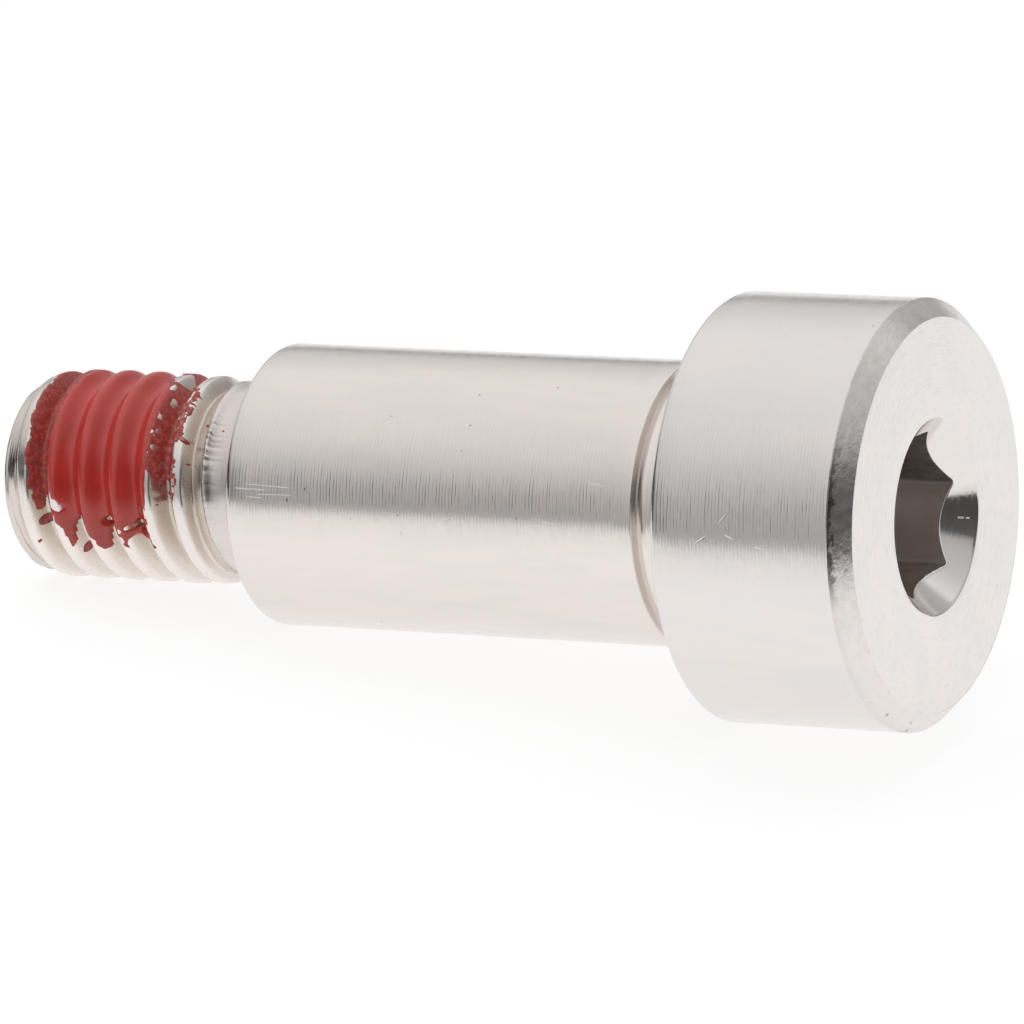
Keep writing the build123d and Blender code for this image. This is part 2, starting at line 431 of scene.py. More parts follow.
def socket_surfaces(sizes, turn):
    """Rings of the mouth's cone, the hex flats and the pilot hole's point, as (station, radius).

    The cone runs straight from the mouth to the hex wall, so its lower edge is scalloped, and a
    burr stands on one side of it.
    """
    top, mouth, wall = sizes.head_height, mouth_radius(sizes), hex_radius(sizes, turn)
    start = mouth - EDGE * 0.7
    step = np.array((0.0, 0.05, 0.15, 0.3, 0.45, 0.6, 0.75, 0.88, 0.96, 1.0))[:, None]
    cone_r = start + (wall - start) * step
    cone_s = top - (mouth - cone_r) / math.tan(sizes.mouth_angle / 2)
    off_flat = np.abs(np.degrees(turn - sizes.hex_turn) % 360 - BURR_FLAT)
    burr = ease(36, 26, off_flat) * grain(41, 0 * turn, turn, 0.00006, mouth)
    cone_r[-1] -= burr * BURR_HEIGHT
    bottom = top - sizes.hex_depth
    step = np.array((0.012, 0.05, 0.15, 0.3, 0.45, 0.6, 0.75, 0.9, 0.98, 1.0))[:, None]
    wall_s = cone_s[-1] + (bottom - cone_s[-1]) * step
    wall_r = wall + 0 * wall_s
    drill = sizes.drill_diameter / 2
    point_r = drill * np.array((1.0, 0.8, 0.55, 0.3, 0.1))[:, None] + 0 * wall
    point_s = bottom - (drill - point_r) / math.tan(sizes.drill_point / 2)
    return (cone_s, cone_r), (wall_s, wall_r), (point_s, point_r)


def ring_faces(rows):
    """Corner numbers: quads between neighbours on two rings, and a fan from each pole to its ring.

    The two poles are numbered after all the rings.
    """
    index = np.arange(rows * COLUMNS).reshape(rows, COLUMNS)
    across = np.roll(index, -1, axis=1)
    quads = np.stack((index[:-1], across[:-1], across[1:], index[1:]), axis=-1).reshape(-1, 4)
    low, high = np.full(COLUMNS, rows * COLUMNS), np.full(COLUMNS, rows * COLUMNS + 1)
    fans = np.vstack((np.stack((low, across[0], index[0]), axis=-1),
                      np.stack((high, index[-1], across[-1]), axis=-1)))
    return quads, fans


def add_turned_map(steel, station, radius):
    """The map that the tool marks' sheen follows: along the profile first, then round the axis.

    The first number is the profile's length so far, times a scale, and the second is the share of
    a turn.
    """
    steps = np.hypot(np.diff(station[:, 0]), np.diff(radius[:, 0]))
    run = np.concatenate(([0.0], np.cumsum(steps))) * MAP_SCALE
    v0 = np.broadcast_to(np.arange(COLUMNS) / COLUMNS, (len(steps), COLUMNS))
    v1 = v0 + 1 / COLUMNS
    u0 = np.broadcast_to(run[:-1, None], v0.shape)
    u1 = np.broadcast_to(run[1:, None], v0.shape)
    quads = np.stack((u0, v0, u0, v1, u1, v1, u1, v0), axis=-1).ravel()
    middle, first, last = v0[0] + 0.5 / COLUMNS, 0 * v0[0], 0 * v0[0] + run[-1]
    low = np.stack((first - 0.01, middle, first, v1[0], first, v0[0]), axis=-1).ravel()
    high = np.stack((last + 0.01, middle, last, v0[0], last, v1[0]), axis=-1).ravel()
    layer = steel.data.uv_layers.new(name=TURNED_MAP)
    layer.data.foreach_set("uv", np.concatenate((quads, low, high)).astype(np.float32))


def add_steel_attributes(steel, sizes, station, radius, turn, kind):
    """Masks at each point, from 0 to 1, that the steel's colour and roughness follow.

    socket: from the hex wall on. The lit-flat mask carries painted light: one flat, and the next by
    half. threaded: between the tip's land and the shoulder. teeth: bell curve times the dark part
    of the grain. root: painted shade, which grows with the depth under the crests, and fades
    towards the neck and on the land.
    """
    crest = sizes.thread_diameter / 2
    end, tip = thread_ends(sizes)
    land = tip + sizes.tip_land
    before_end = station < end - 1e-6

    def add(name, values, low=0, high=0):
        add_attribute(steel, name, np.concatenate((values.ravel(), (low, high))))

    add("socket", kind >= WALL, high=1)
    # Painted light: one flat of the socket is painted lighter, and the next by half
    from_flat = np.degrees(turn - sizes.hex_turn) % 360 - LIT_FLAT
    lit, half_lit = (ease(30.5, 29.0, np.abs(from_flat + step)) for step in (0, 60))
    add("painted_lit_flat", (kind == WALL) * (lit + half_lit * 0.45))
    add("threaded", before_end & (station > land + 0.00005))
    torn = torn_grain(station, turn, crest)
    teeth = near_last_crest(sizes, station, turn, TEETH_DARK) * ease(0.52, 0.40, torn)
    add("teeth", teeth * before_end)
    # Painted shade in the roots: deeper under the crests, less on the land
    under = crest - radius
    ragged = (grain(17, station, turn, 0.00012, crest) - 0.5) * 0.00006
    root = ease(0.00003, 0.00010, under + ragged) * (0.10 + 0.90 * ease(0.00003, 0.00018, under))
    root = root * ease(end - 0.0010, end - 0.0012, station) * (kind == THREAD)
    add("root", root * (0.45 + 0.55 * ease(land, land + 0.0001, station)))


def make_steel(sizes):
    """One closed surface of rings from the tip round the outside and down into the socket."""
    turn = sizes.hex_turn + np.arange(COLUMNS) * 2 * np.pi / COLUMNS
    top, mouth, tip = sizes.head_height, mouth_radius(sizes), thread_ends(sizes)[1]
    tip_radius = sizes.thread_diameter / 2 - sizes.tip_chamfer

    def rings(path):
        return path[:, :1] + 0 * turn, path[:, 1:] + 0 * turn

    disc = [(tip, tip_radius * part) for part in (0.12, 0.4, 0.7, 0.9)] + [(tip, tip_radius - EDGE)]
    lip = [(top, mouth + EDGE), (top - EDGE * 0.15, mouth + EDGE * 0.3)]
    parts = [rings(np.array(disc)), threaded_end(sizes, turn), rings(outside_profile(sizes)),
             rings(np.array(lip)), *socket_surfaces(sizes, turn)]
    station, radius = (np.vstack([part[way] for part in parts]) for way in (0, 1))
    kind = np.repeat(np.arange(len(parts)), [len(part[0]) for part in parts])[:, None]
    turns, kind = turn + 0 * station, kind + 0 * station
    deep = top - sizes.hex_depth - sizes.drill_diameter / 2 / math.tan(sizes.drill_point / 2)
    poles = place(sizes, np.zeros(2), np.array((tip, deep)), np.zeros(2))
    points = np.vstack((place(sizes, radius, station, turns).reshape(-1, 3), poles))
    steel = put_mesh("steel_bolt", points, *ring_faces(len(station)))
    add_turned_map(steel, station, radius)
    add_steel_attributes(steel, sizes, station, radius, turns, kind)
    return steel


# ---------------------------------------------------------------- the locking patch

PATCH_STATIONS, PATCH_TURNS = 158, 306      # points along the helix's stations and round the turn
PATCH_SPAN = (-0.00600, -0.00060)           # helix stations that can carry coat, from the shoulder
PATCH_END = math.radians(127)
SUNK = 0.00003                              # the shell's outside lies this far in where it ends
LEAST_COAT = SUNK / 6
SOLID_GROWS, POWDER_GROWS = (-0.00001, 0.00007), (-0.00001, 0.00003)     # depths inside a border
FLECK_CUT = 0.0016                          # how deep the flecks' grain cuts loose powder

# Borders of the solid coat and of the powder at its sides. LEFT and RIGHT are stations, in
# millimetres from the shoulder's end, by angle in degrees, and END is the other way round
SOLID_LEFT = -5.02
SOLID_RIGHT = ((-30, -2.88), (-5, -2.80), (6, -2.64), (14, -2.47))
SOLID_END = (
    (-5.04, 86), (-4.94, 94), (-4.78, 100), (-4.69, 109), (-4.66, 115), (-4.60, 114), (-4.53, 99),
    (-4.30, 95), (-4.16, 99), (-4.09, 106), (-3.97, 110), (-3.85, 114), (-3.76, 115), (-3.70, 105),
    (-3.50, 102), (-3.42, 108), (-3.20, 113), (-3.0, 110), (-2.8, 113), (-2.62, 113), (-2.47, 104))
POWDER_LEFT = (
    (-30, -6.00), (-20, -5.92), (-1, -5.80), (8, -5.72), (18, -5.78), (30, -5.70), (44, -5.67),
    (49, -5.58), (58, -5.65), (66, -5.58), (71, -5.53), (76, -5.57), (84, -5.49), (91, -5.43))
POWDER_RIGHT = (
    (-30, -2.30), (-8, -2.18), (3, -2.00), (13, -1.72), (30, -1.66), (41, -1.70), (47, -1.58),
    (51, -1.73), (54, -1.66), (64, -1.66), (71, -1.69), (81, -1.74), (87, -1.94))
POWDER_END = (
    (-5.8, 88), (-5.55, 92), (-5.36, 93), (-5.26, 88), (-5.20, 83), (-5.0, 81), (-4.9, 78),
    (-2.6, 60), (-2.45, 66), (-2.30, 71), (-2.15, 75), (-2.05, 84), (-1.95, 87), (-1.75, 82),
    (-1.6, 62))
# Drops beside the coat, and holes through it: (station, angle, half length along the axis, half
# length round it)
DROPS = (
    (-5.30, 100, 0.15, 4.0), (-5.48, 111, 0.05, 1.4), (-4.48, 122, 0.11, 4.2),
    (-2.62, 108.5, 0.13, 3.3), (-2.48, 110.5, 0.05, 1.4), (-1.20, 42, 0.05, 1.2),
    (-1.32, 33, 0.05, 1.5), (-1.52, 60, 0.05, 1.0), (-2.18, 80, 0.05, 1.2), (-2.28, 85, 0.04, 1.0),
    (-0.80, 38, 0.04, 1.0), (-0.62, 52, 0.04, 0.9))
HOLES = (
    (-5.02, 83, 0.07, 3.2), (-4.90, 86, 0.10, 2.0), (-4.80, 88.5, 0.09, 1.4),
    (-2.62, 89, 0.09, 2.6), (-3.60, 98, 0.12, 2.2), (-3.32, 101, 0.06, 1.0),
    (-2.80, 97, 0.06, 1.0), (-2.54, 98, 0.035, 1.0), (-2.92, 99.5, 0.20, 1.9),
    (-3.0, 109, 0.12, 2.6), (-2.62, 108.5, 0.06, 1.6), (-3.30, 107, 0.05, 1.4),
    (-2.72, 105, 0.07, 2.0), (-2.55, 8, 0.03, 2.4), (-2.40, 17, 0.03, 2.4), (-2.45, 31, 0.02, 3.0),
    (-2.42, 42, 0.02, 2.4), (-2.40, 52, 0.02, 2.0), (-1.88, 60, 0.035, 3.0),
    (-1.92, 21, 0.04, 1.2), (-1.94, 14, 0.05, 1.6), (-1.98, 5, 0.05, 1.6), (-2.12, 74, 0.05, 3.0),
    (-2.20, 24, 0.03, 1.2), (-2.15, 34, 0.025, 1.5), (-2.05, 45, 0.025, 1.3),
    (-2.25, 60, 0.03, 1.5), (-2.10, -12, 0.12, 6.0), (-2.3, -30, 0.08, 6.0), (-2.60, -8, 0.16, 9.0))


def read_border(points, value):
    """A listed border read at some value: straight lines between its points."""
    return np.interp(value, [p[0] for p in points], [p[1] for p in points])


def spots(spot_list, z, degrees):
    """Metres inside the nearest ellipse: its half length times (1 - the scaled distance)."""
    best = np.full_like(z, -1.0)
    for station, centre, along, around in spot_list:
        u, v = (z - station) / along, (degrees - centre) / around
        best = np.maximum(best, along / MM * (1 - np.sqrt(u * u + v * v)))
    return best


def coat_depths(sizes, patch, station, turn):
    """Metres inside the solid coat's border and inside the powder's, its looseness and thickness.

    A depth is the least of the distances to the four sides, plus grain that makes the border
    ragged. Holes cut both, and drops add powder.
    """
    crest = sizes.thread_diameter / 2
    z, degrees = (station + sizes.shoulder_length) * MM, np.degrees(turn)
    broad = grain(11, station, turn, 0.0006, crest) - 0.5
    ragged = grain(12, station, turn, 0.00022, crest) - 0.5
    fine = grain(13, station * 0.7, turn, 0.00008, crest) - 0.5
    from_far = turn - patch.far_end
    right = read_border(SOLID_RIGHT, degrees)

    sides = np.minimum(z - SOLID_LEFT, right - z) / MM + ragged * 0.00007
    ends = np.minimum(np.radians(read_border(SOLID_END, z)) - turn, from_far + broad * 0.5) * crest
    ends = ends + ragged * 0.00030 + fine * 0.00010 + broad * 0.00012
    solid = np.minimum(sides, ends)

    # A band on each side, which runs in a little under the solid coat
    left_band = np.minimum(z - read_border(POWDER_LEFT, degrees), SOLID_LEFT + 0.12 - z)
    right_band = np.minimum(z - right + 0.09, read_border(POWDER_RIGHT, degrees) - z)
    sides = np.maximum(left_band, right_band) / MM
    sides = sides + ragged * 0.00012 + fine * (0.00005 + 0.00010 * (z > -4))
    ends = np.minimum(np.radians(read_border(POWDER_END, z)) - turn, from_far + 0.05) * crest
    powder = np.minimum(sides, ends + broad * 0.0002 + ragged * 0.0003)
    # Towards its right and lower ends the powder breaks up into flecks
    loose = 0.5 + 0.5 * ease(60, 80, degrees) + 0.4 * ease(25, 5, degrees)
    loose = loose * ease(-2.5, -1.8, z)
    flecks = np.clip(grain(14, station * 1.2, turn, 0.00011, crest) - 0.50, 0, 1)
    powder = powder - loose * flecks * FLECK_CUT

    holes = spots(HOLES, z, degrees) + (ragged + fine) * 0.00005
    drops = spots(DROPS, z, degrees) + fine * 0.00002
    solid = np.minimum(solid, -holes)
    powder = np.maximum(np.minimum(powder, -holes), drops)
    return solid, powder, loose, patch.powder_thickness * (1 + 0.15 * fine + 0.25 * ragged)


def without_corner_touches(cell):
    """The kept cells, with a third one wherever two would touch at a single corner only."""
    cell = cell.copy()
    while True:
        a, b, c, d = cell[:-1, :-1], cell[:-1, 1:], cell[1:, :-1], cell[1:, 1:]
        falling, rising = a & d & ~b & ~c, b & c & ~a & ~d
        if not (falling.any() or rising.any()):
            return cell
        b |= falling
        a |= rising


def shell_faces(cell):
    """Quads of a shell over the kept cells: outer and inner ones, and walls on the borders.

    The inner surface's points follow all the outer ones. A wall stands on each edge that only one
    kept cell has, which is one whose reverse isn't there.
    """
    rows, columns = cell.shape[0] + 1, cell.shape[1] + 1
    count = rows * columns
    index = np.arange(count).reshape(rows, columns)
    corners = (index[:-1, :-1], index[:-1, 1:], index[1:, 1:], index[1:, :-1])
    outer = np.stack(corners, axis=-1)[cell]
    edges = np.concatenate([outer[:, (k, (k + 1) % 4)] for k in range(4)]).astype(np.int64)
    key, reverse = edges[:, 0] * count + edges[:, 1], edges[:, 1] * count + edges[:, 0]
    start, stop = edges[~np.isin(key, reverse)].T
    walls = np.stack((stop, start, start + count, stop + count), axis=-1)
    return np.vstack((outer, outer[:, ::-1] + count, walls))


def make_patch(sizes, patch):
    """A shell on the thread, kept where there is coat: outside = steel + coat - how far it is sunk.

    The coat is the greater of the solid one, up to the thread with filled roots, and the powder.
    """
    turn = np.linspace(patch.far_end - 0.25, PATCH_END, PATCH_TURNS)
    helix = -sizes.shoulder_length + np.linspace(*PATCH_SPAN, PATCH_STATIONS)
    helix, turn = np.meshgrid(helix, turn, indexing="ij")
    station = helix + sizes.thread_pitch * (turn - FACING) / (2 * np.pi)
    steel = thread_surface(sizes, station, turn, *STEEL_ROUNDS)
    filled = thread_surface(sizes, station, turn, *COAT_ROUNDS, floor_lift=patch.fill)
    solid_in, powder_in, loose, thin = coat_depths(sizes, patch, station, turn)
    solid, powder = ease(*SOLID_GROWS, solid_in), ease(*POWDER_GROWS, powder_in)
    coat = np.maximum(solid * (filled - steel + patch.thickness + SUNK), powder * (thin + SUNK))
    kept = coat > LEAST_COAT
    cell = kept[:-1, :-1] | kept[1:, :-1] | kept[:-1, 1:] | kept[1:, 1:]
    used, faces = np.unique(shell_faces(without_corner_touches(cell)), return_inverse=True)
    points = np.vstack([place(sizes, radius, station, turn).reshape(-1, 3)
                        for radius in (steel + coat - SUNK, steel - 2 * SUNK)])
    coating = put_mesh("nylon_patch", points[used], faces.reshape(-1, 4))
    for name, values in (("loose", loose), ("thick", solid)):
        add_attribute(coating, name, np.tile(values.ravel(), 2)[used])
    return coating


# ---------------------------------------------------------------- materials

FEED_PITCH = 0.082          # millimetres between two tool marks
MARK_HEIGHT, SPECK_HEIGHT = 0.0000035, 0.00003
PIT_COLOUR = (0.24, 0.20, 0.18)
TOOTH_COLOUR = (0.30, 0.25, 0.21)
# Painted shade along the head chamfer's outer edge, for its rolled burr
BURR_SHADE_COLOUR = (0.17, 0.14, 0.13)
# Painted light on the socket's lit flats
PAINTED_LIT_FLAT_COLOUR = (0.82, 0.74, 0.70)
DULL_POWDER_COLOUR = (0.20, 0.075, 0.055)
FLECK_COLOUR = (0.50, 0.33, 0.31)

# Light scratches and dark nicks: (station in millimetres, angle in degrees, half length along the
# axis in millimetres, half width round it in degrees, lean in degrees over the half length,
# strength, which is negative for a nick)
SCRATCHES = (
    (-10.60, 71.2, 0.45, 0.28, 0.15, 0.9), (-10.15, 69.6, 0.75, 0.20, 0.5, 0.6),
    (-10.00, 73.0, 0.60, 0.20, -0.2, 0.6), (-10.5, 74.4, 0.30, 0.20, 0.3, 0.5),
    (-8.16, 80.6, 0.12, 0.45, 0.9, 0.9), (-5.70, 79.5, 0.10, 0.35, -0.6, 0.7),
    (-3.20, 79.0, 0.20, 0.35, 0.4, 0.8), (-2.10, 62.5, 0.50, 0.20, 1.5, 0.3),
    (-6.60, 79.8, 0.08, 0.40, 0.6, 0.7), (1.73, 71.9, 0.12, 0.35, -1.6, 0.9),
    (1.21, 77.6, 0.16, 0.35, -1.2, 0.8), (1.90, 76.4, 0.14, 0.25, 0.8, 0.6),
    (2.60, 79.0, 0.16, 0.25, 0.5, 0.5), (-9.67, 74.8, 0.03, 1.2, 0.0, -0.8),
    (-9.23, 70.1, 0.025, 1.0, 0.0, -0.7), (-4.00, 77.6, 0.025, 0.9, 0.0, -0.6),
    (-7.40, 38.0, 0.08, 0.25, 0.2, -0.5), (-5.40, 40.5, 0.03, 0.7, 0.0, -0.6),
    (4.35, 139.0, 0.05, 0.6, 0.0, -0.7), (4.42, 153.0, 0.04, 0.6, 0.0, -0.7),
    (4.25, 155.0, 0.05, 0.8, 0.0, -0.7), (4.30, -112.0, 0.06, 0.6, 0.0, 1.0),
    (4.42, -112.0, 0.04, 0.5, 0.0, 0.8))


class Nodes:
    """Short calls for a node tree, in which a value may be a number or a socket."""

    def __init__(self, tree):
        self.tree = tree
        tree.nodes.clear()

    def add(self, kind, **settings):
        """A new node with the given settings."""
        node = self.tree.nodes.new(kind)
        for key, value in settings.items():
            setattr(node, key, value)
        return node

    def link(self, source, target):
        """A link from an output to an input."""
        self.tree.links.new(source, target)

    def feed(self, sockets, values):
        """Sets each value on its input, or links it."""
        for socket, value in zip(sockets, values):
            if isinstance(value, bpy.types.NodeSocket):
                self.link(value, socket)
            else:
                socket.default_value = value

    def math(self, operation, *values):
        """A Math node of up to three values."""
        node = self.add("ShaderNodeMath", operation=operation)
        self.feed(node.inputs, values)
        return node.outputs[0]

    def plus(self, a, b):
        """a + b"""
        return self.math("ADD", a, b)

    def minus(self, a, b):
        """a - b"""
        return self.math("SUBTRACT", a, b)

    def times(self, a, b):
        """a x b"""
        return self.math("MULTIPLY", a, b)

    def vector(self, operation, *values):
        """A Vector Math node, and its number or its vector, whichever the operation gives."""
        node = self.add("ShaderNodeVectorMath", operation=operation)
        self.feed(node.inputs, values)
        number = operation in ("DOT_PRODUCT", "LENGTH")
        return node.outputs["Value" if number else "Vector"]

    def combine(self, x, y, z):
        """A vector of three numbers."""
        node = self.add("ShaderNodeCombineXYZ")
        self.feed(node.inputs, (x, y, z))
        return node.outputs[0]

    def noise(self, vector, scale, detail, rough):
        """Smooth noise of about 0.2 to 0.8 at a point."""
        node = self.add("ShaderNodeTexNoise", noise_dimensions="3D")
        self.link(vector, node.inputs["Vector"])
        node.inputs["Scale"].default_value = scale
        node.inputs["Detail"].default_value = detail
        node.inputs["Roughness"].default_value = rough
        return node.outputs["Fac"]

    def span(self, value, low, high, new_low=0.0, new_high=1.0, smooth=True):
        """The range low to high carried to new_low to new_high, and held at its ends."""
        kind = "SMOOTHSTEP" if smooth else "LINEAR"
        node = self.add("ShaderNodeMapRange", interpolation_type=kind)
        self.feed(node.inputs, (value, low, high, new_low, new_high))
        return node.outputs[0]

    def mix(self, factor, a, b):
        """Colour a at factor 0 and colour b at factor 1."""
        node = self.add("ShaderNodeMix", data_type="RGBA")
        self.feed((node.inputs["Factor"],), (factor,))
        colours = [c if isinstance(c, bpy.types.NodeSocket) else (*c, 1.0) for c in (a, b)]
        self.feed(node.inputs[6:8], colours)
        return node.outputs[2]

    def attribute(self, name):
        """A number that the mesh carries at each point."""
        return self.add("ShaderNodeAttribute", attribute_name=name).outputs["Fac"]

    def bump(self, height, strength, distance):
        """The normal tilted by a height, where a height of 1 stands for the distance."""
        node = self.add("ShaderNodeBump")
        node.inputs["Strength"].default_value = strength
        node.inputs["Distance"].default_value = distance
        self.link(height, node.inputs["Height"])
        return node.outputs[0]

    def surface(self, shader, kind="ShaderNodeOutputMaterial"):
        """The tree's output."""
        self.link(shader, self.add(kind).inputs["Surface"])


def bolt_axes(nodes, sizes):
    """A surface point's station, up and aside in millimetres: its object coordinates turned."""
    origin, along, up, aside = bolt_frame(sizes)
    in_object = nodes.add("ShaderNodeTexCoord").outputs["Object"]
    shifted = nodes.vector("SUBTRACT", in_object, tuple(origin))
    in_mm = nodes.vector("MULTIPLY", shifted, (MM, MM, MM))
    return [nodes.vector("DOT_PRODUCT", in_mm, tuple(axis)) for axis in (along, up, aside)]


class SurfacePoint:
    """A surface point in the bolt's frame, in millimetres, with its radius and its angle."""

    def __init__(self, nodes, sizes):
        self.station, self.up, self.aside = bolt_axes(nodes, sizes)
        self.point = nodes.combine(self.station, self.up, self.aside)
        squares = nodes.plus(nodes.times(self.up, self.up), nodes.times(self.aside, self.aside))
        self.radius = nodes.math("SQRT", squares)
        self.turn = nodes.math("ARCTAN2", self.aside, self.up)
        self.across = nodes.plus(self.station, self.radius)


def stretched(nodes, first, at, squeeze):
    """A point with the given first coordinate and a squeezed cross section, to draw a noise out."""
    return nodes.combine(first, nodes.times(at.up, squeeze), nodes.times(at.aside, squeeze))


def drawn_out(nodes, at, factor):
    """The point with its station scaled: a factor under 1 draws a noise out along the axis."""
    return nodes.combine(nodes.times(at.station, factor), at.up, at.aside)


def shade(colour, factor):
    """The colour, with each channel multiplied by the factor or by its own factor."""
    return tuple(np.array(colour) * factor)


def new_material(name):
    """An empty material and its node helper."""
    material = bpy.data.materials.new(name)
    material.use_nodes = True
    return material, Nodes(material.node_tree)


def bare_steel(nodes, sizes, at):
    """Steel in two close tones, cooler on the head, with faint arcs on the face."""
    lengthways = drawn_out(nodes, at, 0.25)
    streaks = nodes.span(nodes.noise(lengthways, 3.0, 3.0, 0.65), 0.3, 0.7)
    clouds = nodes.span(nodes.noise(lengthways, 0.8, 2.0, 0.6), 0.35, 0.65)
    tone = nodes.plus(nodes.times(clouds, 0.6), nodes.times(streaks, 0.4))
    dull = shade(sizes.colour, (0.965, 0.965, 0.970))
    bright = shade(sizes.colour, (1.02, 1.0, 0.995))
    base = nodes.mix(tone, dull, bright)
    cooler = nodes.vector("MULTIPLY", base, (0.990, 1.010, 1.025))
    base = nodes.mix(nodes.span(at.station, -0.5, 0.1), base, cooler)
    face = sizes.head_height * MM
    on_face = nodes.times(nodes.span(at.station, face - 0.02, face - 0.005), 0.5)
    arcs_at = stretched(nodes, nodes.times(at.radius, 2.5), at, 0.8)
    arcs = nodes.span(nodes.noise(arcs_at, 4.0, 3.0, 0.7), 0.48, 0.34)
    return nodes.mix(nodes.times(arcs, on_face), base, shade(sizes.colour, 0.90))


def thread_colour(nodes, sizes, at, threaded, base):
    """Painted tan shade in the roots, dark torn teeth, painted light that makes the underside
    paler, and a darker neck.
    """
    # Painted light: the thread's underside, towards the floor, is painted paler
    painted_underside_light = nodes.times(nodes.span(at.up, 0.3, -1.6), threaded)
    base = nodes.mix(painted_underside_light, base, nodes.vector("MULTIPLY", base, (1.12, 1.11, 1.10)))
    # Painted shade: the roots are painted tan, less so on the underside
    tan = nodes.times(nodes.attribute("root"), nodes.span(painted_underside_light, 0.0, 1.0, 1.0, 0.45))
    base = nodes.mix(tan, base, tuple(sizes.root_shade_colour))
    # The neck beside the shoulder is darker
    end = -sizes.shoulder_length * MM
    neck = nodes.times(nodes.span(at.station, end, end - 0.02),
                       nodes.span(at.station, end - 1.2, end - 1.0))
    base = nodes.mix(neck, base, nodes.vector("MULTIPLY", base, (0.87, 0.86, 0.87)))
    return nodes.mix(nodes.times(nodes.attribute("teeth"), 0.7), base, TOOTH_COLOUR)


def pit_mask(nodes, at, nicks):
    """Raised in the dark nicks and in small round pits, in about one Voronoi cell in five."""
    cells = nodes.add("ShaderNodeTexVoronoi", feature="F1")
    nodes.link(at.point, cells.inputs["Vector"])
    cells.inputs["Scale"].default_value = 2.2
    chance = nodes.vector("DOT_PRODUCT", cells.outputs["Color"], (1.0, 0.0, 0.0))
    picked = nodes.math("GREATER_THAN", chance, 0.8)
    pit = nodes.times(nodes.span(cells.outputs["Distance"], 0.06, 0.035), picked)
    return nodes.math("MAXIMUM", nodes.times(pit, 0.8), nicks)


def chamfer_colour(nodes, sizes, at, chamfer, torn, base):
    """The torn chamfer's grey mottling, partly painted shade that darkens it towards the top, and a
    dark line of painted shade at its outer edge for the rolled burr.
    """
    # The mottling is partly the torn grain's own and partly painted shade, which grows towards the
    # top
    torn_mottling_and_shade = nodes.times(nodes.span(torn, 0.35, 0.7), nodes.span(at.up, -2.5, 0.5, 0.15, 1.0))
    base = nodes.mix(nodes.times(chamfer, torn_mottling_and_shade), base, shade(sizes.colour, 0.87))
    rim_station = (sizes.head_height - sizes.head_chamfer) * MM
    rim_radius = sizes.head_diameter / 2 * MM
    reach = nodes.plus(at.station, nodes.span(torn, 0.35, 0.65, -0.05, 0.05))
    edge = nodes.times(nodes.span(reach, rim_station + 0.10, rim_station + 0.04),
                       nodes.span(at.station, rim_station - 0.02, rim_station))
    edge = nodes.times(edge, nodes.span(at.radius, rim_radius - 0.2, rim_radius - 0.15))
    # Painted shade: a dark line along the outer edge for the rolled burr, strongest about 1.4 mm up
    from_middle = nodes.math("ABSOLUTE", nodes.minus(at.up, 1.4))
    rolled = nodes.span(from_middle, 1.9, 0.9, 0.06, 0.85)
    return nodes.mix(nodes.times(edge, rolled), base, BURR_SHADE_COLOUR)


def socket_flats(nodes, sizes, at):
    """Broached flats in two tones, drawn out along the axis, of a colour that is partly oil and
    oxide and partly painted shade, and painted light on the flats that catch the light.
    """
    broach = nodes.noise(drawn_out(nodes, at, 0.5), 4.0, 3.0, 0.6)
    flats = nodes.mix(nodes.span(broach, 0.35, 0.65),
                      shade(sizes.socket_oxide_and_shade, 0.85), shade(sizes.socket_oxide_and_shade, 1.15))
    # Painted light on the lit flats
    bright = nodes.times(nodes.attribute("painted_lit_flat"), 0.75)
    return nodes.mix(bright, flats, PAINTED_LIT_FLAT_COLOUR)


def feed_marks(nodes, at):
    """Marks round the axis: a sharpened sine of station plus radius that wanders and breaks off."""
    wander = nodes.noise(stretched(nodes, at.across, at, 0.06), 6.0, 2.0, 0.6)
    phase = nodes.plus(nodes.times(at.across, 2 * math.pi / FEED_PITCH), nodes.times(wander, 7.0))
    wave = nodes.times(nodes.plus(nodes.math("SINE", phase), 1.0), 0.5)
    broken = nodes.noise(drawn_out(nodes, at, 5.0), 1.3, 2.0, 0.6)
    return nodes.times(nodes.math("POWER", wave, 3.0), nodes.span(broken, 0.35, 0.7, 0.2, 0.62))


def scratch_masks(nodes, at):
    """Two masks, raised where a light scratch or a dark nick lies.

    Each mark is a leaning ellipse: the least scaled distance squared, plus 0.8 of what its strength
    lacks, is kept for each kind.
    """
    light, dark = 9.0, 9.0
    for station, degrees, along, around, lean, strength in SCRATCHES:
        u = nodes.math("MULTIPLY_ADD", at.station, 1 / along, -station / along)
        v = nodes.math("MULTIPLY_ADD", at.turn, math.degrees(1) / around, -degrees / around)
        if lean:
            v = nodes.math("MULTIPLY_ADD", u, -lean / around, v)
        weaker = 0.8 * (1 - abs(strength))
        far = nodes.math("MULTIPLY_ADD", u, u, nodes.math("MULTIPLY_ADD", v, v, weaker))
        if strength > 0:
            light = nodes.math("MINIMUM", light, far)
        else:
            dark = nodes.math("MINIMUM", dark, far)
    return nodes.span(light, 1.0, 0.2), nodes.span(dark, 1.0, 0.2)


